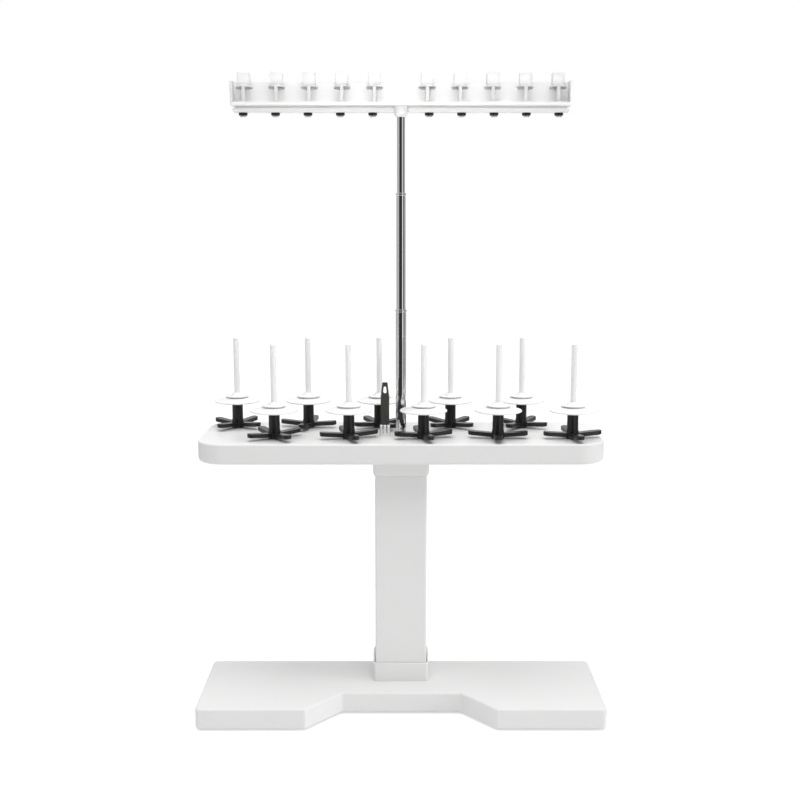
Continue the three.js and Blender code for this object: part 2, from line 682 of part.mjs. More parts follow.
const socketFlangeFoot = barFloorTop + fitGap;
let barSocket = turned([
  [0, poleUpperTop],
  [barSocketDiameter / 2 - barSocketChamfer, poleUpperTop],
  [barSocketDiameter / 2, poleUpperTop + barSocketChamfer],
  [barSocketDiameter / 2, socketFlangeFoot],
  [barSocketFlangeDiameter / 2, socketFlangeFoot],
  [barSocketFlangeDiameter / 2, socketFlangeFoot + barSocketFlangeHeight],
  [0, socketFlangeFoot + barSocketFlangeHeight],
], tubeSides, poleX, poleY);
barSocket = barSocket.subtract(rod(
  poleUpperDiameter / 2 + fitGap, poleUpperTop - cutOver, upperTubeTop + fitGap, tubeSides, poleX, poleY,
));
addPiece('bar_socket', barSocket, whiteCase);

// Guide units: a hooded clip that stands on the bar's floor, with a disc round its neck, held by a
// domed cap under the bar
const guides = [];
for (let i = 0; i < guidesPerSide; i++) {
  const offset = guideFirstOffset + i * guidePitch;
  guides.push({ capX: poleX + offset, stemX: poleX + offset - guideStemInset });
  guides.unshift({ capX: poleX - offset, stemX: poleX - offset + guideStemInset });
}
const guideDiscFoot = barBottom + guideDiscLevel;
const guideDiscTop = guideDiscFoot + guideDiscThickness;
const guideFlareFoot = guideDiscTop + guideDiscGap;
const guideHoodFoot = guideFlareFoot + guideFlareHeight;
const guideFootBottom = barFloorTop + fitGap;
const guideFootDepth = skirtCentreY - poleY + (guideStemThickness + guideCapShankDiameter) / 2;
const guideFootY = poleY - guideStemThickness / 2 + guideFootDepth / 2;
const guideCapTop = skirtBottom - fitGap;
const guideCapBottom = guideCapTop - guideCapHeight;

function guideUnit(capX, stemX) {
  const hoodY = poleY - guideHoodWall;
  const shankTop = guideFootBottom + cutOver;
  const hoodFoot = guideHoodFoot - cutOver;
  const hood = block(guideHoodWidth, guideHoodDepth, guideHoodHeight + cutOver, stemX, hoodY, hoodFoot);
  const hollow = block(
    guideHoodWidth - 2 * guideHoodWall, guideHoodDepth, guideHoodHeight - guideHoodWall,
    stemX, hoodY + guideHoodWall, guideHoodFoot,
  );
  const parts = [
    block(guideFootWidth, guideFootDepth, guideFootHeight, capX, guideFootY, guideFootBottom),
    block(guideStemWidth, guideStemThickness, guideDiscFoot - guideFootBottom, stemX, poleY, guideFootBottom),
    rod(guideDiscDiameter / 2, guideDiscFoot - guideDiscGap, guideDiscTop, boreSides, stemX, poleY),
    rod(guideNeckDiameter / 2, guideDiscFoot, guideHoodFoot, boreSides, stemX, poleY),
    turned([
      [0, guideFlareFoot],
      [guideFlareDiameter / 2, guideFlareFoot],
      [guideHoodWidth / 2, guideHoodFoot],
      [0, guideHoodFoot],
    ], boreSides, stemX, poleY),
    hood.subtract(hollow),
    turned([
      [0, guideCapBottom],
      [guideCapTipDiameter / 2, guideCapBottom],
      [guideCapShoulderDiameter / 2, guideCapBottom + guideCapShoulderHeight],
      [guideCapDiameter / 2, guideCapTop],
      [guideCapShankDiameter / 2, guideCapTop],
      [guideCapShankDiameter / 2, shankTop],
      [0, shankTop],
    ], boreSides, capX, skirtCentreY),
  ];
  return parts.reduce((whole, part) => whole.add(part));
}

guides.forEach(({ capX, stemX }, i) => {
  const shankHole = rod(
    guideCapShankDiameter / 2 + fitGap, skirtBottom - cutOver, barFloorTop + cutOver, boreSides,
    capX, skirtCentreY,
  );
  guideBar = guideBar.subtract(shankHole);
  barCover = barCover.subtract(shankHole);
  addPiece(`guide_unit_${i + 1}`, guideUnit(capX, stemX), clearPlastic);
});
addPiece('guide_bar', guideBar, whiteCase);
addPiece('bar_cover', barCover, whiteCase);

export default stand;
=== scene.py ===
import math

import bpy
import numpy as np
from mathutils import Matrix, Vector


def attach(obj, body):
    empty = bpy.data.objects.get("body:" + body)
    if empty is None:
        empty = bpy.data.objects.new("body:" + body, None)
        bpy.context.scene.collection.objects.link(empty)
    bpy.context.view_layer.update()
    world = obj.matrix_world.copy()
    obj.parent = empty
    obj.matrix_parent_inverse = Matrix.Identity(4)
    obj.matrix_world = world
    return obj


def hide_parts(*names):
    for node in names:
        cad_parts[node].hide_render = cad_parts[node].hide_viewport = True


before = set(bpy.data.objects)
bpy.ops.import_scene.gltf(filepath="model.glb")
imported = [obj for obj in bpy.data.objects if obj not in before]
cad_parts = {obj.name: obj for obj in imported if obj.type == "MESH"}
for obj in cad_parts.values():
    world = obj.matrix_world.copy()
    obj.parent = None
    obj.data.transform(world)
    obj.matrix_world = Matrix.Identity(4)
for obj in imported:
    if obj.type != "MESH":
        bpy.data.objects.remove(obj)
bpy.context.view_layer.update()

# Viewpoint: straight on to the notched front, from a height between the tray and the guide bar, looking
# slightly down through a normal lens.
CAMERA_PLACE = (-0.0019, -1.1429, 0.5200)
CAMERA_LOOKS_DOWN = 9.53  # degrees
CAMERA_LOOKS_RIGHT = 0.045  # degrees
CAMERA_LENS = 49.95  # for a 36 mm wide sensor

camera_data = bpy.data.cameras.new("front_view")
camera_data.lens = CAMERA_LENS
camera_data.sensor_width = 36
camera = bpy.data.objects.new("front_view", camera_data)
camera.location = CAMERA_PLACE
camera.rotation_euler = (math.radians(90 - CAMERA_LOOKS_DOWN), 0, -math.radians(CAMERA_LOOKS_RIGHT))
bpy.context.scene.collection.objects.link(camera)
bpy.context.scene.camera = camera
bpy.context.scene.view_settings.view_transform = "Standard"

# Base shell: a flat white box with a trapezoid notch in its front edge, which a sewing machine stands
# in. One injection-moulded plastic shell, open below, with small rounded edges and a satin surface.
BASE_FRONT = -84.15
BASE_BACK = 41.85
BASE_BOTTOM = 2.3
BASE_TOP = 23.7
BASE_HALF_WIDTH = 210
NOTCH_BACK = -44.55
NOTCH_CORNERS = [(-97.5, BASE_FRONT), (-62, NOTCH_BACK), (62, NOTCH_BACK), (97.5, BASE_FRONT)]
BASE_CORNER_RADIUS = 5
NOTCH_RADIUS = 4
CASE_WALL = 2.5
BASE_EDGE_RADIUS = 2
LEAST_RADIUS = 0.02  # keeps a corner's arc from shrinking to a point
EDGE_STEPS = 6
SHARP_ANGLE = 40  # degrees, from which an edge counts as one
WHITE = (0.862, 0.862, 0.857)
SATIN = 0.42
MOTTLE_SIZE = 40
RELIEF_STRENGTH = 0.7
MM = 0.001


def rounded(corners, radii, inset=0.0, steps=8):
    """Closed outline in which each corner is an arc: p = c + r (cos a, sin a), where c lies on the
    corner's bisector and a goes evenly from the normal of one side to the normal of the next. Inset
    moves all sides inwards; an array of insets gives an outline for each."""
    corner = np.asarray(corners, float)
    inset = np.asarray(inset, float)[..., None]
    before = corner - np.roll(corner, 1, axis=0)
    before /= np.linalg.norm(before, axis=1, keepdims=True)
    after = np.roll(before, -1, axis=0)
    cross = before[:, 0] * after[:, 1] - before[:, 1] * after[:, 0]
    dot = (before * after).sum(axis=1)
    side = np.where(cross < 0, -1.0, 1.0)
    turn = side * np.arccos(np.clip(dot, -1, 1))
    radius = np.maximum(np.asarray(radii, float) - side * inset, LEAST_RADIUS)
    inwards = np.stack([-before[:, 1] - after[:, 1], before[:, 0] + after[:, 0]], axis=1)
    centre = corner + inwards / (1 + dot)[:, None] * (inset + side * radius)[..., None]
    first = np.arctan2(-side * before[:, 0], side * before[:, 1])
    angle = first[:, None] + turn[:, None] * np.linspace(0, 1, steps + 1)
    direction = np.stack([np.cos(angle), np.sin(angle)], axis=-1)
    points = centre[..., None, :] + radius[..., None, None] * direction
    return points.reshape(*points.shape[:-3], -1, 2)


def lofted(name, loops, ring=False):
    """Closed surface through loops of points in millimetres. Four-sided faces join each loop to the
    next, and a face closes the first loop and the last, or in a ring these two are joined."""
    count, around = loops.shape[:2]
    along = np.arange(around)
    ahead = (along + 1) % around
    here = np.arange(count if ring else count - 1)[:, None] * around
    there = (here + around) % (count * around)
    corners = [here + along, here + ahead, there + ahead, there + along]
    faces = np.stack(corners, axis=-1).reshape(-1, 4).tolist()
    if not ring:
        faces.append(along[::-1].tolist())
        faces.append((along + (count - 1) * around).tolist())
    mesh = bpy.data.meshes.new(name)
    mesh.from_pydata((loops.reshape(-1, 3) * MM).tolist(), [], faces)
    return mesh


def stacked(name, corners, radii, levels, steps=8):
    """Closed solid through one outline at several levels, each a height and an inset."""
    levels = np.asarray(levels, float)
    outlines = rounded(corners, radii, levels[:, 1], steps)
    heights = np.broadcast_to(levels[:, 0, None, None], (*outlines.shape[:2], 1))
    return lofted(name, np.concatenate([outlines, heights], axis=-1))


def top_edge(height, radius, inset=0.0):
    """Levels up a rounded top edge, from the side of a solid to its top."""
    angle = np.radians(np.linspace(0, 90, EDGE_STEPS + 1))
    return np.stack([height - radius * (1 - np.sin(angle)), inset + radius * (1 - np.cos(angle))], axis=1)


def low_edge(height, radius, inset=0.0):
    """Levels up a rounded lower edge, from the underside of a solid to its side."""
    return top_edge(-height, radius, inset)[::-1] * (-1, 1)


def rectangle(width, depth, x=0.0, y=0.0):
    """Corners of a rectangle round (x, y), anticlockwise from its front left."""
    return np.array([(-1, -1), (1, -1), (1, 1), (-1, 1)]) * (width / 2, depth / 2) + (x, y)


class Shade:
    """A value in a material's node tree. Python's operators on it add Math nodes."""

    def __init__(self, tree, socket=None):
        self.tree = tree
        self.socket = socket

    def node(self, kind, settings=None, values=None, output=0):
        """Adds a node: its settings come first, then each named input gets its number or its link."""
        made = self.tree.nodes.new(kind)
        for key, value in (settings or {}).items():
            setattr(made, key, value)
        for key, value in (values or {}).items():
            if isinstance(value, Shade):
                self.tree.links.new(value.socket, made.inputs[key])
            else:
                made.inputs[key].default_value = value
        return Shade(self.tree, made.outputs[output] if made.outputs else None)

    def maths(self, operation, *values):
        return self.node("ShaderNodeMath", {"operation": operation}, dict(enumerate(values)))

    def __add__(self, other):
        return self.maths("ADD", self, other)

    def __radd__(self, other):
        return self.maths("ADD", other, self)

    def __sub__(self, other):
        return self.maths("SUBTRACT", self, other)

    def __rsub__(self, other):
        return self.maths("SUBTRACT", other, self)

    def __mul__(self, other):
        return self.maths("MULTIPLY", self, other)

    def __rmul__(self, other):
        return self.maths("MULTIPLY", other, self)

    def noise(self, size, detail=3.0, stretch=(1, 1, 1)):
        """Noise from 0 to 1 whose patches are about this many millimetres wide."""
        place = self.node("ShaderNodeTexCoord", output="Object")
        mapped = self.node("ShaderNodeMapping", {}, {"Vector": place, "Scale": stretch})
        values = {"Vector": mapped, "Scale": 1 / (size * MM), "Detail": detail}
        return self.node("ShaderNodeTexNoise", {}, values)

    def between(self, first, second):
        """Colour that goes from the first to the second as this value goes from 0 to 1."""
        colours = {0: self, 6: (*first, 1), 7: (*second, 1)}
        return self.node("ShaderNodeMix", {"data_type": "RGBA"}, colours, output=2)


def bare_tree(owner):
    """Empty node tree of a material or a world."""
    owner.use_nodes = True
    owner.node_tree.nodes.clear()
    return Shade(owner.node_tree)


def surface(name, colour, roughness, grain, depth, mottle=0.03, sheen=0.1, stretch=(1, 1, 1), **constants):
    """Material of a hard surface: a fine grain in relief, its size and depth in millimetres, a faint
    slow mottle in the colour and slow changes in the gloss. Constants go to the shader itself."""
    made = bpy.data.materials.new(name)
    tree = bare_tree(made)
    slow = tree.noise(MOTTLE_SIZE)
    fine = tree.noise(grain, detail=2.0, stretch=stretch)
    bump = {"Height": fine, "Distance": depth * MM, "Strength": RELIEF_STRENGTH}
    relief = tree.node("ShaderNodeBump", {}, bump)
    values = {key.replace("_", " "): value for key, value in constants.items()}
    values["Base Color"] = slow.between([channel * (1 - mottle) for channel in colour], colour)
    values["Roughness"] = roughness + sheen * (slow + fine - 1.0)
    values["Normal"] = relief
    shader = tree.node("ShaderNodeBsdfPrincipled", {}, values)
    tree.node("ShaderNodeOutputMaterial", {}, {"Surface": shader})
    return made


def piece(name, mesh, material, body, nodes=(), bevel=0.0):
    """Shows a mesh as a piece with this material that rides on a body, and hides the CAD nodes that it
    stands for. A bevel rounds its edges by that many millimetres."""
    mesh.name = name
    mesh.shade_smooth()
    made = bpy.data.objects.new(name, mesh)
    bpy.context.scene.collection.objects.link(made)
    made.data.materials.append(material)
    if bevel:
        made.modifiers.new("triangles", "TRIANGULATE")
        edges = made.modifiers.new("rounded_edges", "BEVEL")
        edges.width = bevel * MM
        edges.segments = 3
        edges.limit_method = "ANGLE"
        edges.angle_limit = math.radians(SHARP_ANGLE)
    else:
        mesh.set_sharp_from_angle(angle=math.radians(SHARP_ANGLE))
    flats = made.modifiers.new("flat_faces", "WEIGHTED_NORMAL")
    flats.keep_sharp = not bevel
    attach(made, body)
    if nodes:
        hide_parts(*nodes)
    return made


white_satin = surface("white_satin_moulding", WHITE, SATIN, grain=0.7, depth=0.006)
base_corners = [(-BASE_HALF_WIDTH, BASE_FRONT), *NOTCH_CORNERS, (BASE_HALF_WIDTH, BASE_FRONT),
                (BASE_HALF_WIDTH, BASE_BACK), (-BASE_HALF_WIDTH, BASE_BACK)]
base_radii = [BASE_CORNER_RADIUS, *[NOTCH_RADIUS] * 4, *[BASE_CORNER_RADIUS] * 3]
base_levels = np.concatenate([
    [(BASE_TOP - CASE_WALL, CASE_WALL), (BASE_BOTTOM, CASE_WALL)],
    low_edge(BASE_BOTTOM, BASE_EDGE_RADIUS),
    top_edge(BASE_TOP, BASE_EDGE_RADIUS),
])
base = stacked("base", base_corners, base_radii, base_levels)
piece("base_moulding", base, white_satin, "stand", ["base_shell"])

# Base cover, its screws and the feet: a flat plate closes the base from below, held by six pan-head
# screws of zinc-plated steel, and a rubber foot is stuck on under each corner.
FOOT_RADIUS = 8
FOOT_ROUNDING = 0.6
FOOT_PLACES = [(-194, -68.15), (-194, 25.85), (194, -68.15), (194, 25.85)]
BASE_SCREW_PLACES = [(-176, -50.15), (-176, 7.85), (-62, 7.85), (62, 7.85), (176, 7.85), (176, -50.15)]
SCREW_HEAD_RADIUS = 3.1
SCREW_HEAD_HEIGHT = 1.5
SCREW_HEAD_ROUNDING = 1.1
RECESS_REACH = 1.7
RECESS_WIDTH = 0.7
RECESS_DEPTH = 0.9
RECESS_DRAFT = 0.25
SHARP = 0.1  # radius of an edge that looks sharp
CUT_OVER = 1  # how far a cutter runs past what it cuts, and a joined piece into its neighbour


def turned(name, profile, sides=48, ring=False):
    """Surface of revolution (r cos a, r sin a, z) round the vertical axis, from profile points (r, z)
    that run upwards on its outside. A ring's profile is closed; any other is closed by flat faces."""
    profile = np.asarray(profile, float)
    angle = np.linspace(0, 2 * np.pi, sides, endpoint=False)
    radius, height = profile[:, :1], profile[:, 1:]
    loops = np.stack([radius * np.cos(angle), radius * np.sin(angle), height + 0 * angle], axis=-1)
    return lofted(name, loops, ring)


def rod(name, radius, levels, sides=48):
    """Round solid about the vertical axis: a circle at several levels, each a height and an inset."""
    heights, insets = np.asarray(levels, float).T
    return turned(name, np.stack([radius - insets, heights], axis=1), sides)


def placed(mesh, x, y, turn=0.0):
    """Copy of a mesh that is turned about the vertical by degrees and moved by millimetres."""
    copy = mesh.copy()
    copy.transform(Matrix.Translation((x * MM, y * MM, 0)) @ Matrix.Rotation(math.radians(turn), 4, "Z"))
    return copy


def combined(name, operation, meshes):
    """The first mesh with the others united with it or cut out of it by an exact boolean."""
    shapes = [bpy.data.objects.new(mesh.name, mesh) for mesh in meshes]
    for shape in shapes:
        bpy.context.scene.collection.objects.link(shape)
    for other in shapes[1:]:
        change = shapes[0].modifiers.new(other.name, "BOOLEAN")
        change.operation = operation
        change.solver = "EXACT"
        change.object = other
    depsgraph = bpy.context.evaluated_depsgraph_get()
    result = bpy.data.meshes.new_from_object(shapes[0].evaluated_get(depsgraph))
    result.name = name
    for shape in shapes:
        bpy.data.objects.remove(shape)
    return result


def gathered(name, meshes):
    """One mesh that holds all the given ones side by side."""
    points = [np.empty((len(mesh.vertices), 3), np.float32) for mesh in meshes]
    for group, mesh in zip(points, meshes):
        mesh.vertices.foreach_get("co", group.ravel())
    firsts = np.cumsum([0] + [len(group) for group in points])
    faces = [[corner + first for corner in face.vertices]
             for mesh, first in zip(meshes, firsts.tolist()) for face in mesh.polygons]
    made = bpy.data.meshes.new(name)
    made.from_pydata(np.concatenate(points).tolist(), [], faces)
    return made


def dressed(node, material):
    """Gives a CAD node that stays in view its material."""
    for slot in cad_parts[node].material_slots:
        slot.material = material


def pan_head(top):
    """Screw head under a plate at this level, with a cross recess."""
    foot = top - SCREW_HEAD_HEIGHT
    head = rod("screw_head", SCREW_HEAD_RADIUS, [*low_edge(foot, SCREW_HEAD_ROUNDING), (top, 0)], sides=32)
    levels = [(foot - CUT_OVER, 0), (foot + RECESS_DEPTH, RECESS_DRAFT)]
    arms = [stacked("recess", rectangle(*size), SHARP, levels, steps=2)
            for size in ((2 * RECESS_REACH, RECESS_WIDTH), (RECESS_WIDTH, 2 * RECESS_REACH))]
    return combined("screw_head", "DIFFERENCE", [head, *arms])


zinc_steel = surface("zinc_plated_steel", (0.62, 0.63, 0.64), 0.3, grain=0.25, depth=0.004, Metallic=1.0)
foot_rubber = surface("foot_rubber", (0.03, 0.03, 0.031), 0.75, grain=0.5, depth=0.03)
dressed("base_cover", white_satin)
foot = rod("foot", FOOT_RADIUS, [*low_edge(0, FOOT_ROUNDING), (BASE_BOTTOM, 0)])
for number, (x, y) in enumerate(FOOT_PLACES, 1):
    piece(f"foot_{number}", placed(foot, x, y), foot_rubber, "stand", [f"base_foot_{number}"])
base_screw = pan_head(BASE_BOTTOM)
base_screws = gathered("base_screws", [placed(base_screw, x, y) for x, y in BASE_SCREW_PLACES])
piece("base_screws", base_screws, zinc_steel, "stand")

# Pillar socket: a rectangular sleeve screwed to the base, which the pillar is pushed into. It is a white
# moulding with a floor, and a spring tab stands up on each side to catch the pillar.
PILLAR_CENTRE_Y = 10.05
SLEEVE_WIDTH = 59.2
SLEEVE_DEPTH = 49.6
SLEEVE_WALL = 1.8
SLEEVE_RADIUS = 4
SOCKET_TOP = 44
SOCKET_FLOOR = 27
SOCKET_FOOT_ROUNDING = 0.3
MOUTH_ROUNDING = 0.4
TAB_TOP = 54
TAB_WIDTH = 12
TAB_Y = -2.75
TAB_SUNK = 3  # how far a tab reaches down into the sleeve's wall

sleeve_corners = rectangle(SLEEVE_WIDTH, SLEEVE_DEPTH, 0, PILLAR_CENTRE_Y)
socket_levels = np.concatenate([
    low_edge(BASE_TOP, SOCKET_FOOT_ROUNDING),
    top_edge(SOCKET_TOP, MOUTH_ROUNDING),
    [(SOCKET_TOP, SLEEVE_WALL), (SOCKET_FLOOR, SLEEVE_WALL)],
])
socket_sleeve = stacked("socket_sleeve", sleeve_corners, SLEEVE_RADIUS, socket_levels)
tab_x = (SLEEVE_WIDTH - SLEEVE_WALL) / 2
tab_levels = np.concatenate([[(SOCKET_TOP - TAB_SUNK, 0)], top_edge(TAB_TOP, MOUTH_ROUNDING)])
tabs = [stacked("tab", rectangle(SLEEVE_WALL, TAB_WIDTH, x, TAB_Y), MOUTH_ROUNDING, tab_levels)
        for x in (-tab_x, tab_x)]
socket = combined("socket", "UNION", [socket_sleeve, *tabs])
piece("socket_moulding", socket, white_satin, "stand", ["pillar_socket"])

# Pillar: a tall square post of two white mouldings, a three-sided front shell and a flat back plate that
# closes it, with a fine seam down both sides at the back.
PILLAR_WIDTH = 54.6
PILLAR_FRONT = -12.45
PILLAR_BACK = 32.55
PILLAR_WALL = 2.2
PILLAR_BOTTOM = 27.3
PILLAR_TOP = 264.2
PILLAR_RADIUS = 2
SEAM = 0.3
SEAM_ROUNDING = 0.4
SHELL_END_ROUNDING = 0.3  # of the inner edges beside the back plate
SHELL_INSIDE_RADIUS = 0.5

half = PILLAR_WIDTH / 2
inner = half - PILLAR_WALL
shell_back = PILLAR_BACK - PILLAR_WALL - SEAM
shell_corners = [(-half, PILLAR_FRONT), (half, PILLAR_FRONT), (half, shell_back), (inner, shell_back),
                 (inner, PILLAR_FRONT + PILLAR_WALL), (-inner, PILLAR_FRONT + PILLAR_WALL),
                 (-inner, shell_back), (-half, shell_back)]
shell_radii = [PILLAR_RADIUS, PILLAR_RADIUS, SEAM_ROUNDING, SHELL_END_ROUNDING, SHELL_INSIDE_RADIUS,
               SHELL_INSIDE_RADIUS, SHELL_END_ROUNDING, SEAM_ROUNDING]
pillar_levels = [(PILLAR_BOTTOM, 0), (PILLAR_TOP, 0)]
pillar_shell = stacked("pillar_shell", shell_corners, shell_radii, pillar_levels)
plate_corners = rectangle(PILLAR_WIDTH, PILLAR_WALL, 0, PILLAR_BACK - PILLAR_WALL / 2)
plate_radii = [SEAM_ROUNDING, SEAM_ROUNDING, PILLAR_RADIUS, PILLAR_RADIUS]
pillar_plate = stacked("pillar_plate", plate_corners, plate_radii, pillar_levels)
piece("pillar_moulding", pillar_shell, white_satin, "stand", ["pillar_front"])
piece("pillar_back_plate", pillar_plate, white_satin, "stand", ["pillar_rear"])

# Collar: the same sleeve upside down, screwed under the tray. The pillar ends in it, and its lower edge
# draws in a little.
COLLAR_BOTTOM = 250
COLLAR_TOP = 267.8
COLLAR_ROOF = 264.5
COLLAR_TAPER = 1.2
COLLAR_TAPER_HEIGHT = 4
COLLAR_LIP_ROUNDING = 0.2

collar_levels = np.concatenate([
    [(COLLAR_ROOF, SLEEVE_WALL), (COLLAR_BOTTOM, SLEEVE_WALL)],
    low_edge(COLLAR_BOTTOM, COLLAR_LIP_ROUNDING, COLLAR_TAPER),
    [(COLLAR_BOTTOM + COLLAR_TAPER_HEIGHT, 0), (COLLAR_TOP, 0)],
])
collar = stacked("collar", sleeve_corners, SLEEVE_RADIUS, collar_levels)
piece("collar_moulding", collar, white_satin, "stand", ["pillar_collar"])

# Tray: an oblong white moulding with wide rounded corners, a soft lower edge and a raised ring round the
# pole. Its flat cover below is held by screws like the base's.
TRAY_CENTRE_Y = 21.15
TRAY_WIDTH = 420
TRAY_DEPTH = 126
TRAY_RADIUS = 27
TRAY_BOTTOM = 267.8
TRAY_TOP = 289.3
TRAY_LOW_EDGE = 4
TRAY_TOP_EDGE = 1.6
TRAY_WALL_FOOT = 268.4
RING_INNER = 5.9
RING_OUTER = 8.9
RING_TOP = 290.3
RING_ROUNDING = 0.5
TRAY_SCREW_PLACES = [(-180, TRAY_CENTRE_Y), (-77.5, 58.85), (-38.75, -16.55), (38.75, -16.55),
                     (77.5, 58.85), (180, TRAY_CENTRE_Y)]

tray_levels = np.concatenate([
    [(TRAY_TOP - CASE_WALL, CASE_WALL), (TRAY_WALL_FOOT, CASE_WALL)],
    low_edge(TRAY_BOTTOM, TRAY_LOW_EDGE),
    top_edge(TRAY_TOP, TRAY_TOP_EDGE),
])
tray_corners = rectangle(TRAY_WIDTH, TRAY_DEPTH, 0, TRAY_CENTRE_Y)
tray_shell = stacked("tray_shell", tray_corners, TRAY_RADIUS, tray_levels, steps=24)
pole_ring = rod("pole_ring", RING_OUTER, [(TRAY_TOP - CUT_OVER, 0), *top_edge(RING_TOP, RING_ROUNDING)])
pole_hole = rod("pole_hole", RING_INNER, [(TRAY_TOP - CASE_WALL - CUT_OVER, 0), (RING_TOP + CUT_OVER, 0)])
ringed_tray = combined("ringed_tray", "UNION", [tray_shell, placed(pole_ring, 0, TRAY_CENTRE_Y)])
tray = combined("tray", "DIFFERENCE", [ringed_tray, placed(pole_hole, 0, TRAY_CENTRE_Y)])
piece("tray_moulding", tray, white_satin, "stand", ["tray_shell"])
dressed("tray_cover", white_satin)
tray_screw = pan_head(TRAY_BOTTOM)
tray_screws = gathered("tray_screws", [placed(tray_screw, x, y) for x, y in TRAY_SCREW_PLACES])
piece("tray_screws", tray_screws, zinc_steel, "stand")

# Spool pins: ten plain white rods with rounded tips, pressed into the tray in two staggered rows, back
# and front in turn from left to right.
STATIONS_IN_ROW = 5
STATION_PITCH = 77.5
ROW_STAGGER = 46.8
ROW_SPACING = 61.8
PIN_RADIUS = 3
PIN_TOP = 387.9
PIN_TIP_RADIUS = 1.1
SUNK = 0.3  # how deep a piece's foot stands in the tray
GLOSS_WHITE = (0.93, 0.93, 0.925)

middle_column = (STATIONS_IN_ROW - 1) / 2
stations = [((column - middle_column) * STATION_PITCH + row * ROW_STAGGER / 2,
             TRAY_CENTRE_Y - row * ROW_SPACING / 2)
            for column in range(STATIONS_IN_ROW) for row in (-1, 1)]
white_gloss = surface("white_gloss_moulding", GLOSS_WHITE, 0.3, grain=0.5, depth=0.003)
pin = rod("pin", PIN_RADIUS, [(TRAY_TOP - SUNK, 0), *top_edge(PIN_TOP, PIN_TIP_RADIUS)], sides=32)
for number, (x, y) in enumerate(stations, 1):
    piece(f"pin_{number}", placed(pin, x, y), white_gloss, "stand", [f"spool_pin_{number}"])

# Cone holders: a black moulding on each pin, which a thread cone sits on: a sleeve, a wider hub and four
# paddle-shaped arms whose tips stand a little higher. Each is free to turn and stands at its own angle.
HOLDER_FOOT = 289.6
HOLDER_TOP = 317.7
HUB_RADIUS = 6.8
HUB_HEIGHT = 5
SLEEVE_FOOT_RADIUS = 5.85
SLEEVE_TOP_RADIUS = 5.75
PIN_HOLE_RADIUS = 3.3
HUB_ROUNDINGS = [0.2, 0.5, 0.6, 3, 0.4, 0.2]  # up its outside, from the pin's hole back to it
ARM_START = 4.5
ARM_REACH = 31
ARM_ROOT_WIDTH = 8.6
ARM_TIP_WIDTH = 9
ARM_ROOT_RADIUS = 0.4
ARM_TIP_RADIUS = 4.3
ARM_ROUNDING = 0.5
ARM_THICKNESS = 4.2
ARM_LIFT = 1.2
ARM_RISE = 2.6
HOLDER_TURNS = [57, 35, 80, 16, 32, 13, 48, 86, 57, 8]  # degrees
BLACK = (0.014, 0.014, 0.015)

black_satin = surface("black_satin_moulding", BLACK, 0.32, grain=0.5, depth=0.01, mottle=0.2)
hub_corners = [
    (PIN_HOLE_RADIUS, HOLDER_FOOT), (HUB_RADIUS, HOLDER_FOOT), (HUB_RADIUS, HOLDER_FOOT + HUB_HEIGHT),
    (SLEEVE_FOOT_RADIUS, HOLDER_FOOT + 2 * HUB_HEIGHT), (SLEEVE_TOP_RADIUS, HOLDER_TOP),
    (PIN_HOLE_RADIUS, HOLDER_TOP),
]
hub = turned("hub", rounded(hub_corners, HUB_ROUNDINGS, steps=4), ring=True)
arm_corners = [(ARM_START, -ARM_ROOT_WIDTH / 2), (ARM_REACH, -ARM_TIP_WIDTH / 2),
               (ARM_REACH, ARM_TIP_WIDTH / 2), (ARM_START, ARM_ROOT_WIDTH / 2)]
arm_foot = HOLDER_FOOT + ARM_LIFT
arm_radii = [ARM_ROOT_RADIUS, ARM_TIP_RADIUS, ARM_TIP_RADIUS, ARM_ROOT_RADIUS]
arm_levels = np.concatenate([
    low_edge(arm_foot, ARM_ROUNDING),
    top_edge(arm_foot + ARM_THICKNESS, ARM_ROUNDING),
])
arm = stacked("arm", arm_corners, arm_radii, arm_levels)
arm.transform(Matrix(((1, 0, 0, 0), (0, 1, 0, 0), (ARM_RISE / ARM_REACH, 0, 1, 0), (0, 0, 0, 1))))
holder = combined("holder", "UNION", [hub, *[placed(arm, 0, 0, turn) for turn in (0, 90, 180, 270)]])
for number, ((x, y), turn) in enumerate(zip(stations, HOLDER_TURNS), 1):
    node = f"cone_holder_{number}"
    piece(f"holder_{number}", placed(holder, x, y, turn), black_satin, node, [node])

# Spool caps: a white disc on each holder's sleeve, slightly domed, with a smaller disc and a low cone
# moulded on top of it. It slides up and down the pin to hold a spool.
CAP_FOOT = 318
CAP_RADIUS = 24.5
CAP_THICKNESS = 1.6
SHOULDER_RADIUS = 21
SHOULDER_RISE = 2.8
DOME_RADIUS = 12
NECK_RADIUS = 9
STEP_FOOT = 323.8
STEP_TOP = 324.8
STEP_RADIUS = 12.8
CONE_RADIUS = 7.5
CONE_TOP_RADIUS = 4.3
CONE_TOP = 328
DISH_HEIGHT = 0.6  # of the hollow in the cap's underside
DISH_INNER = (6, 8)  # radii where it starts to rise and is at its height
DISH_OUTER = (21, 23)
# round the profile from the hole's foot: the dish, the rim, the dome, the neck, the step and the cone
CAP_ROUNDINGS = [0.1, 0.2, 0.2, 0.2, 0.2, 0.7, 0.7, 6, 1, 0.3, 0.3, 0.4, 0.4, 1, 0.5, 0.2]

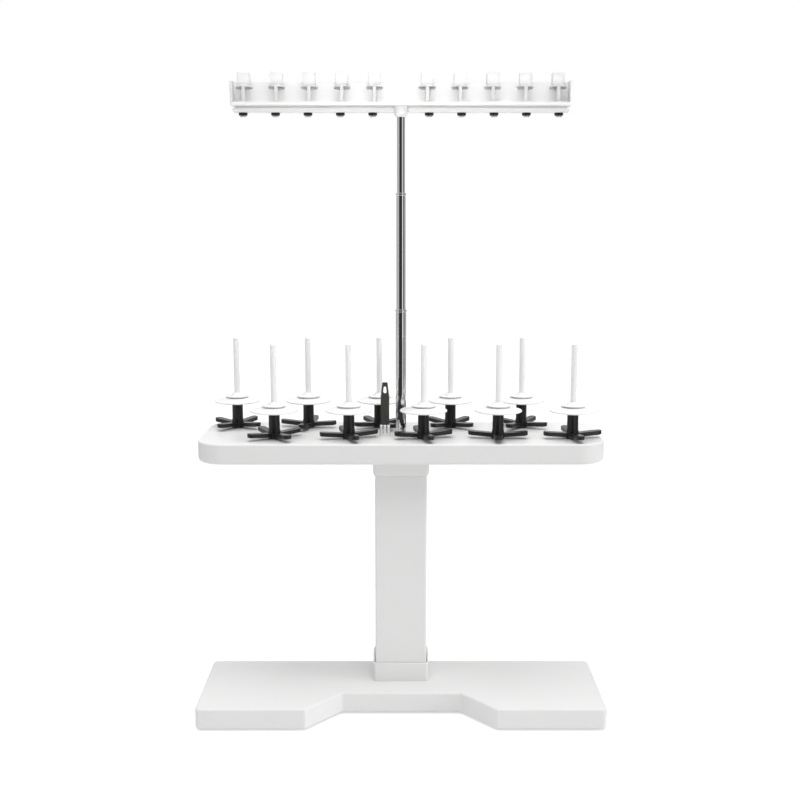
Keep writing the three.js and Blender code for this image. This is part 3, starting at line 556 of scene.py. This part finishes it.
disc_top = CAP_FOOT + CAP_THICKNESS
dome_top = disc_top + SHOULDER_RISE
dish_top = CAP_FOOT + DISH_HEIGHT
cap_corners = [
    (PIN_HOLE_RADIUS, CAP_FOOT), (DISH_INNER[0], CAP_FOOT), (DISH_INNER[1], dish_top),
    (DISH_OUTER[0], dish_top), (DISH_OUTER[1], CAP_FOOT), (CAP_RADIUS, CAP_FOOT), (CAP_RADIUS, disc_top),
    (SHOULDER_RADIUS, disc_top), (DOME_RADIUS, dome_top), (NECK_RADIUS, dome_top),
    (NECK_RADIUS, STEP_FOOT), (STEP_RADIUS, STEP_FOOT), (STEP_RADIUS, STEP_TOP), (CONE_RADIUS, STEP_TOP),
    (CONE_TOP_RADIUS, CONE_TOP), (PIN_HOLE_RADIUS, CONE_TOP),
]
cap = turned("cap", rounded(cap_corners, CAP_ROUNDINGS, steps=4), sides=96, ring=True)
for number, (x, y) in enumerate(stations, 1):
    node = f"spool_cap_{number}"
    piece(f"cap_{number}", placed(cap, x, y), white_gloss, node, [node])

# Pole: three chromed steel tubes that slide into each other. The two larger ones end in a rolled rim,
# and drawing has left very fine lines along them.
TUBE_WALL = 0.4
# node, body, radius, foot, top, how far the rim stands out
TUBES = [("pole_lower", "stand", 5.6, 272.3, 421, 0.5), ("pole_middle", "pole_middle", 4.9, 399, 541, 0.5),
         ("pole_upper", "pole_upper", 4.2, 519, 627, 0)]
RIM_HEIGHT = 2.4
RIM_FOOT_ROUNDING = 0.35
RIM_TOP_ROUNDING = 0.6
CHROME = (0.8, 0.805, 0.81)

chrome = surface("chromed_steel", CHROME, 0.07, grain=0.6, depth=0.0008, sheen=0.03, stretch=(1, 1, 0.02),
                 Metallic=1.0)
for node, body, radius, foot_level, top, rim in TUBES:
    bore = radius - TUBE_WALL
    tube_corners = [(bore, foot_level), (radius, foot_level), (radius, top), (bore, top)]
    tube_radii = SHARP
    if rim:
        rim_foot = top - RIM_HEIGHT
        tube_corners[2:3] = [(radius, rim_foot), (radius + rim, rim_foot), (radius + rim, top)]
        tube_radii = [SHARP, SHARP, SHARP, RIM_FOOT_ROUNDING, RIM_TOP_ROUNDING, SHARP]
    tube = turned(node, rounded(tube_corners, tube_radii, steps=5), sides=64, ring=True)
    piece(f"{node}_tube", placed(tube, 0, TRAY_CENTRE_Y), chrome, body, [node])

# Thread finger: a black tapered blade with a keyhole eye near its tip, stuck into a white socket that two
# slots make springy, left of the pole.
FINGER_X = -16.8
FINGER_Y = 5.85
FINGER_FOOT = 301
FINGER_TOP = 345.9
FINGER_WIDTHS = [(0, 9.2), (0.69, 9), (0.85, 7.2), (1, 5.5)]  # share of the height, width
FINGER_THICKNESS = (4.2, 2.6)  # at the foot, at the tip
FINGER_EDGE_RADIUS = 0.25
BLADE_CORNER = 0.4  # share of half the width
FINGER_SUNK = 4  # how deep it stands in its socket
TIP_SHARE = 0.03  # top share of the height that is rounded over
TIP_ROUNDING = 0.5
TIP_ANGLES = (15, 90)  # degrees
BLADE_RINGS = 24
TIP_RINGS = 6
EYE_HEIGHT = 337.9
EYE_CORNERS = [(-1.9, -3.6), (1.9, -3.6), (1.2, 3.7), (-1.2, 3.7)]
EYE_RADII = [1.6, 1.6, 1.1, 1.1]
EYE_CUT = 5
SOCKET_WIDTH = 10.6
SOCKET_DEPTH = 10
SOCKET_RADIUS = 1.8
SOCKET_ROUNDING = 1.4
FINGER_SOCKET_TOP = 301
SLOT_WIDTH = 1.1
SLOT_SPACING = 4
SLOT_FOOT = 292
SLOT_DEPTH = 7
SLOT_RADIUS = 0.2

# The blade is one outline carried up: its width and thickness follow the height, and at the tip they
# shrink along a quarter circle.
bend = np.radians(np.linspace(*TIP_ANGLES, TIP_RINGS))
climb = np.concatenate([np.linspace(0, 1 - TIP_SHARE, BLADE_RINGS), 1 - TIP_SHARE * (1 - np.sin(bend))])
shrink = np.concatenate([np.zeros(BLADE_RINGS), TIP_ROUNDING * (1 - np.cos(bend))])
half_width = np.interp(climb, *zip(*FINGER_WIDTHS)) / 2
half_thickness = np.interp(climb, [0, 1], FINGER_THICKNESS) / 2
blade_outline = rounded(rectangle(2, 2), BLADE_CORNER)
blade_sizes = np.stack([half_width - shrink, half_thickness - shrink / 2], axis=1)
blade_plan = blade_outline * blade_sizes[:, None, :] + (FINGER_X, FINGER_Y)
blade_height = FINGER_FOOT - FINGER_SUNK + (FINGER_TOP - FINGER_FOOT + FINGER_SUNK) * climb
blade_heights = np.broadcast_to(blade_height[:, None, None], (*blade_plan.shape[:2], 1))
blade = lofted("blade", np.concatenate([blade_plan, blade_heights], axis=-1))
eye_cutter = stacked("eye", EYE_CORNERS, EYE_RADII, [(-EYE_CUT, 0), (EYE_CUT, 0)])
eye_cutter.transform(Matrix.Translation((FINGER_X * MM, FINGER_Y * MM, EYE_HEIGHT * MM))
                     @ Matrix.Rotation(math.pi / 2, 4, "X"))
finger = combined("finger", "DIFFERENCE", [blade, eye_cutter])
olive_black = surface("olive_black_moulding", (0.056, 0.057, 0.047), 0.45, grain=0.5, depth=0.01, mottle=0.2)
piece("finger_blade", finger, olive_black, "stand", ["thread_finger"], FINGER_EDGE_RADIUS)

socket_outline = rectangle(SOCKET_WIDTH, SOCKET_DEPTH, FINGER_X, FINGER_Y)
block_levels = np.concatenate([[(TRAY_TOP - SUNK, 0)], top_edge(FINGER_SOCKET_TOP, SOCKET_ROUNDING)])
socket_block = stacked("socket_block", socket_outline, SOCKET_RADIUS, block_levels)
slot_levels = [(SLOT_FOOT, 0), (FINGER_SOCKET_TOP + CUT_OVER, 0)]
slot_y = FINGER_Y - SOCKET_DEPTH / 2
slot_outlines = [rectangle(SLOT_WIDTH, SLOT_DEPTH, FINGER_X + side * SLOT_SPACING / 2, slot_y)
                 for side in (-1, 1)]
slots = [stacked("slot", outline, SLOT_RADIUS, slot_levels, steps=2) for outline in slot_outlines]
finger_socket = combined("finger_socket", "DIFFERENCE", [socket_block, *slots])
piece("finger_socket_moulding", finger_socket, white_satin, "stand", ["finger_socket"])

# Guide bar: a long white channel on top of the pole with a low front lip and a high back, moulded in one.
# A narrow closed skirt is set back below it, and a round boss in its middle takes the end of the pole.
BAR_WIDTH = 345.4
BAR_DEPTH = 22
BAR_BOTTOM = 627.8
BAR_FLOOR = 629.8
BAR_LIP_TOP = 631.3
BAR_TOP = 652.6
BAR_WALL = 2
BAR_RADIUS = 2
BAR_LOW_EDGE = 0.9
BAR_ROUNDING = 0.35
MOUTH_DEPTH = 10
SKIRT_BOTTOM = 621.8
SKIRT_WIDTH = 343.8
SKIRT_DEPTH = 12
SKIRT_Y = 26.15
SKIRT_RADIUS = 2
SKIRT_LOW_EDGE = 0.6
SKIRT_GROOVE = 2
SKIRT_GROOVE_DEPTH = 2.5
SKIRT_TAPER = 1
BOSS_BORE = 4.5
BOSS_RADIUS = 7
BOSS_FOOT = 617
BOSS_CHAMFER = 2.4
BOSS_BORE_TOP = 627.3
FLANGE_RADIUS = 8.5
FLANGE_TOP = 632.1
FLANGE_ROUNDING = 0.5
BOSS_GAP = 0.3

bar_outline = rectangle(BAR_WIDTH, BAR_DEPTH, 0, TRAY_CENTRE_Y)
above_bar = BAR_TOP + CUT_OVER
channel = stacked("channel", bar_outline, BAR_RADIUS, [*low_edge(BAR_BOTTOM, BAR_LOW_EDGE), (BAR_TOP, 0)])
hollow = stacked("hollow", bar_outline, BAR_RADIUS, [(BAR_FLOOR, BAR_WALL), (above_bar, BAR_WALL)])
mouth_outline = rectangle(BAR_WIDTH - 2 * BAR_WALL, MOUTH_DEPTH, 0, TRAY_CENTRE_Y - BAR_DEPTH / 2)
mouth = stacked("mouth", mouth_outline, SHARP, [(BAR_LIP_TOP, 0), (above_bar, 0)], steps=1)
well = rod("well", BOSS_RADIUS + BOSS_GAP, [(BOSS_FOOT, 0), (BAR_FLOOR + CUT_OVER, 0)])
well = placed(well, 0, TRAY_CENTRE_Y)
bar = combined("bar", "DIFFERENCE", [channel, hollow, mouth, well])
piece("bar_channel", bar, white_satin, "guide_bar", ["guide_bar"], BAR_ROUNDING)
groove_foot = BAR_BOTTOM - SKIRT_GROOVE
skirt_levels = np.concatenate([
    low_edge(SKIRT_BOTTOM, SKIRT_LOW_EDGE, SKIRT_TAPER),
    [(groove_foot, 0), (groove_foot, SKIRT_GROOVE_DEPTH), (BAR_BOTTOM, SKIRT_GROOVE_DEPTH)],
])
skirt_outline = rectangle(SKIRT_WIDTH, SKIRT_DEPTH, 0, SKIRT_Y)
skirt_block = stacked("skirt_block", skirt_outline, SKIRT_RADIUS, skirt_levels)
skirt = combined("skirt", "DIFFERENCE", [skirt_block, well])
piece("bar_skirt", skirt, white_satin, "guide_bar", ["bar_cover"])
boss_profile = [
    (BOSS_BORE, BOSS_BORE_TOP), (BOSS_BORE, BOSS_FOOT), (BOSS_RADIUS - BOSS_CHAMFER, BOSS_FOOT),
    (BOSS_RADIUS, BOSS_FOOT + BOSS_CHAMFER), (BOSS_RADIUS, BAR_FLOOR), (FLANGE_RADIUS, BAR_FLOOR),
    *[(FLANGE_RADIUS - inset, height) for height, inset in top_edge(FLANGE_TOP, FLANGE_ROUNDING)],
]
boss = placed(turned("boss", boss_profile, sides=64), 0, TRAY_CENTRE_Y)
piece("bar_boss", boss, white_satin, "guide_bar", ["bar_socket"])

# Guide clips: ten clear plastic clips along the bar. Each has a foot, a flat stem that stands in a notch
# of a dark tension disc, and above the disc a square hood, open at the back, that the thread is led under.
CLIPS_ON_A_SIDE = 5
FIRST_CLIP = 28.9  # of its screw, from the pole
CLIP_PITCH = 33.15
STEM_INSET = 2.2
FOOT_WIDTH = 9
FOOT_DEPTH = 15.9
FOOT_Y = -0.95
FOOT_HEIGHT = 2.3
CLIP_ROUNDING = 0.4
CLIP_CORNER = 0.5
STEM_WIDTH = 3.8
STEM_DEPTH = 2.2
STEM_Y = -7.8  # from the bar's middle line, in front of the disc's notch
STEM_DRAFT = 0.5
DISC_FOOT = 644.9
DISC_TOP = 645.5
DISC_RADIUS = 8.5
DISC_EDGE = 0.2
NOTCH_GAP = 0.4
NOTCH_DEPTH = 4
NOTCH_Y = -8.4
NECK = 1.3
NECK_SUNK = 0.5
FLARE_FOOT = 646.4
FLARE_TOP = 649
FLARE_RADIUS = 9
HOOD_FOOT = 648.2
HOOD_TOP = 661
HOOD_WIDTH = 13
HOOD_DEPTH = 9
HOOD_WALL = 1.3
HOOD_Y = -1.3  # middle of the hood, from the bar's middle line
HOOD_FRONT_ROUNDING = 0.8
HOOD_BACK_ROUNDING = 0.3
HOOD_CORNERS = [0.6, 0.6, 1.6, 1.6]

clear_plastic = surface("clear_moulding", (0.89, 0.895, 0.9), 0.3, grain=1.5, depth=0.004, mottle=0.01,
                        sheen=0.04, IOR=1.4, Transmission_Weight=0.45)
disc_steel = surface("dark_disc_steel", (0.55, 0.55, 0.55), 0.35, grain=0.4, depth=0.004, Metallic=1.0)
foot_levels = np.concatenate([[(BAR_FLOOR, 0)], top_edge(BAR_FLOOR + FOOT_HEIGHT, CLIP_ROUNDING)])
foot_outline = rectangle(FOOT_WIDTH, FOOT_DEPTH, STEM_INSET, FOOT_Y)
clip_foot = stacked("clip_foot", foot_outline, CLIP_CORNER, foot_levels, steps=3)
stem_outline = rectangle(STEM_WIDTH, STEM_DEPTH, 0, STEM_Y)
stem_levels = [(BAR_FLOOR + CUT_OVER, STEM_DRAFT), (FLARE_FOOT + CUT_OVER, 0)]
stem = stacked("stem", stem_outline, CLIP_CORNER, stem_levels, steps=3)
neck = rod("neck", NECK, [(BAR_FLOOR + CUT_OVER, 0), (HOOD_FOOT + NECK_SUNK, 0)], sides=24)
flare_levels = [*low_edge(FLARE_FOOT, CLIP_ROUNDING), (FLARE_TOP, FLARE_RADIUS - HOOD_WIDTH / 2)]
flare = rod("flare", FLARE_RADIUS, flare_levels)
hood_levels = np.concatenate([
    low_edge(-HOOD_DEPTH / 2, HOOD_FRONT_ROUNDING),
    top_edge(HOOD_DEPTH / 2, HOOD_BACK_ROUNDING),
    [(HOOD_DEPTH / 2, HOOD_WALL), (HOOD_WALL - HOOD_DEPTH / 2, HOOD_WALL)],
])
hood_middle = (HOOD_FOOT + HOOD_TOP) / 2
hood_outline = rectangle(HOOD_WIDTH, HOOD_TOP - HOOD_FOOT)
hood = stacked("hood", hood_outline, HOOD_CORNERS, hood_levels)
hood.transform(Matrix.Translation((0, HOOD_Y * MM, hood_middle * MM)) @ Matrix(
    ((1, 0, 0, 0), (0, 0, 1, 0), (0, 1, 0, 0), (0, 0, 0, 1))))
hood.flip_normals()  # since standing it up swaps two axes, which turns it inside out
right_clip = combined("clip", "UNION", [clip_foot, stem, neck, flare, hood])
left_clip = combined("clip", "UNION", [placed(clip_foot, -2 * STEM_INSET, 0), stem, neck, flare, hood])
disc_hole = NECK + SHARP
disc_corners = [(disc_hole, DISC_FOOT), (DISC_RADIUS, DISC_FOOT), (DISC_RADIUS, DISC_TOP),
                (disc_hole, DISC_TOP)]
disc = turned("disc", rounded(disc_corners, [SHARP, DISC_EDGE, DISC_EDGE, SHARP], steps=4), ring=True)
notch_outline = rectangle(STEM_WIDTH + 2 * NOTCH_GAP, NOTCH_DEPTH, 0, NOTCH_Y)
notch_levels = [(DISC_FOOT - CUT_OVER, 0), (DISC_TOP + CUT_OVER, 0)]
notch = stacked("notch", notch_outline, CLIP_ROUNDING, notch_levels)
disc = combined("disc", "DIFFERENCE", [disc, notch])

# Clip screws: each clip is held from below by a zinc-plated pan-head screw, which goes up through the
# skirt and the bar's floor into the clip's foot. A black domed washer lies between its head and the skirt.
WASHER_FOOT = 619
WASHER_RADIUS = 4.5
WASHER_HOLE = 1.5
WASHER_RADII = [SHARP, 0.6, 0.3, SHARP]
CLIP_SCREW_RADIUS = 3.2
CLIP_SCREW_FOOT = 617.3
CLIP_SCREW_ROUNDING = 1

black_washer = surface("black_washer", BLACK, 0.5, grain=0.4, depth=0.01, mottle=0.2)
washer_corners = [(WASHER_HOLE, WASHER_FOOT), (WASHER_RADIUS, WASHER_FOOT), (WASHER_RADIUS, SKIRT_BOTTOM),
                  (WASHER_HOLE, SKIRT_BOTTOM)]
washer = turned("washer", rounded(washer_corners, WASHER_RADII, steps=4), sides=40, ring=True)
clip_screw_levels = [*low_edge(CLIP_SCREW_FOOT, CLIP_SCREW_ROUNDING), (WASHER_FOOT, 0)]
clip_screw = rod("clip_screw", CLIP_SCREW_RADIUS, clip_screw_levels, sides=40)
clip_places = sorted(side * (FIRST_CLIP + CLIP_PITCH * place)
                     for place in range(CLIPS_ON_A_SIDE) for side in (-1, 1))
for number, x in enumerate(clip_places, 1):
    stem_x = x - math.copysign(STEM_INSET, x)
    clip = placed(right_clip if x > 0 else left_clip, stem_x, TRAY_CENTRE_Y)
    piece(f"clip_{number}", clip, clear_plastic, "guide_bar", [f"guide_unit_{number}"])
    piece(f"clip_disc_{number}", placed(disc, stem_x, TRAY_CENTRE_Y), disc_steel, "guide_bar")
    piece(f"clip_washer_{number}", placed(washer, x, SKIRT_Y), black_washer, "guide_bar")
    piece(f"clip_screw_{number}", placed(clip_screw, x, SKIRT_Y), zinc_steel, "guide_bar")

# Setting: a plain white floor and background that keep the stand's soft shadow, large soft lamps above
# and far to the right, two small ones for the bar, and curved cards that only reflections see.
FLOOR_HALF = 6  # metres
FLOOR_WHITE = 1.01  # how bright the open floor looks
FLOOR_SHADE = 0.4  # share of the floor's look that the lamps give, which shows the shadow
FLOOR_PALE = 0.9
AMBIENT = 0.42
CONTACT_REACH = 3  # how far from the stand its contact shadow goes
CONTACT_SHARE = 0.75  # share of the floor's glow that the contact shadow takes


def seen_directly(tree):
    """1 for rays from the camera, a mirror or clear plastic, and otherwise 0."""
    return (tree.node("ShaderNodeLightPath", output="Is Camera Ray")
            + tree.node("ShaderNodeLightPath", output="Is Glossy Ray")
            + tree.node("ShaderNodeLightPath", output="Is Transmission Ray"))


floor_material = bpy.data.materials.new("pale_floor")
tree = bare_tree(floor_material)
shaded = tree.node("ShaderNodeBsdfDiffuse", {}, {"Color": (FLOOR_SHADE,) * 3 + (1,)})
reach = {"Distance": CONTACT_REACH * MM}
openness = tree.node("ShaderNodeAmbientOcclusion", {"samples": 16}, reach, output="AO")
brightness = (FLOOR_WHITE - AMBIENT * FLOOR_SHADE) * (1 - CONTACT_SHARE * (1 - openness))
glow = tree.node("ShaderNodeEmission", {}, {"Color": brightness, "Strength": 1.0})
white_floor = tree.node("ShaderNodeAddShader", {}, {0: shaded, 1: glow})
pale_floor = tree.node("ShaderNodeBsdfDiffuse", {}, {"Color": (FLOOR_PALE,) * 3 + (1,)})
mixed = tree.node("ShaderNodeMixShader", {}, {0: seen_directly(tree), 1: pale_floor, 2: white_floor})
tree.node("ShaderNodeOutputMaterial", {}, {"Surface": mixed})
floor_mesh = bpy.data.meshes.new("floor")
floor_corners = np.array([(-1, -1, 0), (1, -1, 0), (1, 1, 0), (-1, 1, 0)]) * FLOOR_HALF
floor_mesh.from_pydata(floor_corners.tolist(), [], [(0, 1, 2, 3)])
floor_mesh.materials.append(floor_material)
floor = bpy.data.objects.new("floor", floor_mesh)
bpy.context.scene.collection.objects.link(floor)

world = bpy.data.worlds.new("white_studio")
bpy.context.scene.world = world
tree = bare_tree(world)
level = AMBIENT + (1 - AMBIENT) * seen_directly(tree)
sky = tree.node("ShaderNodeBackground", {}, {"Color": (1, 1, 1, 1), "Strength": level})
tree.node("ShaderNodeOutputWorld", {}, {"Surface": sky})

CARD_RADIUS = 900
CARD_FOOT = 10
CARD_TOP = 1400
CARD_STEPS = 24
# name, from and to in degrees round the pole, tone
CARDS = [("dark_card", -48, 30, 0.04), ("grey_card", 51, 80, 0.12), ("light_card", 80, 150, 0.42),
         ("pale_card", -150, -50, 0.54)]
for name, start, end, tone in CARDS:
    card_material = bpy.data.materials.new(name)
    tree = bare_tree(card_material)
    glow = tree.node("ShaderNodeEmission", {}, {"Color": (tone, tone, tone, 1), "Strength": 1.0})
    tree.node("ShaderNodeOutputMaterial", {}, {"Surface": glow})
    azimuth = np.radians(np.linspace(start, end, CARD_STEPS))
    wall = np.stack([CARD_RADIUS * np.sin(azimuth), TRAY_CENTRE_Y - CARD_RADIUS * np.cos(azimuth)], axis=1)
    rows = [np.c_[wall, np.full(CARD_STEPS, height)] for height in (CARD_FOOT, CARD_TOP)]
    here = np.arange(CARD_STEPS - 1)
    faces = np.stack([here + 1, here, here + CARD_STEPS, here + CARD_STEPS + 1], axis=1)
    mesh = bpy.data.meshes.new(name)
    mesh.from_pydata((np.concatenate(rows) * MM).tolist(), [], faces.tolist())
    mesh.materials.append(card_material)
    card = bpy.data.objects.new(name, mesh)
    card.visible_camera = False
    card.visible_diffuse = False
    card.visible_shadow = False
    card.visible_transmission = False
    bpy.context.scene.collection.objects.link(card)

# name, place and target in metres, size, spread in degrees, watts
LAMPS = [("top_lamp", (0, -0.35, 2.2), (0, 0, 0.3), 2.0, 180, 33),
         ("right_lamp", (4.5, -0.9, 1.6), (0, 0, 0.3), 2.5, 180, 70),
         ("upper_lamp", (0.05, -0.55, 1.05), (0, 0, 0.64), 0.6, 180, 0.5),
         ("bar_lamp", (0, -0.9, 0.62), (0, 0.02, 0.64), 0.2, 38, 0.15)]
for name, place, target, size, spread, watts in LAMPS:
    lamp_data = bpy.data.lights.new(name, "AREA")
    lamp_data.size = size
    lamp_data.spread = math.radians(spread)
    lamp_data.energy = watts
    lamp = bpy.data.objects.new(name, lamp_data)
    lamp.visible_camera = False
    lamp.visible_glossy = False
    lamp.location = place
    lamp.rotation_euler = (Vector(target) - Vector(place)).to_track_quat("-Z", "Y").to_euler()
    bpy.context.scene.collection.objects.link(lamp)
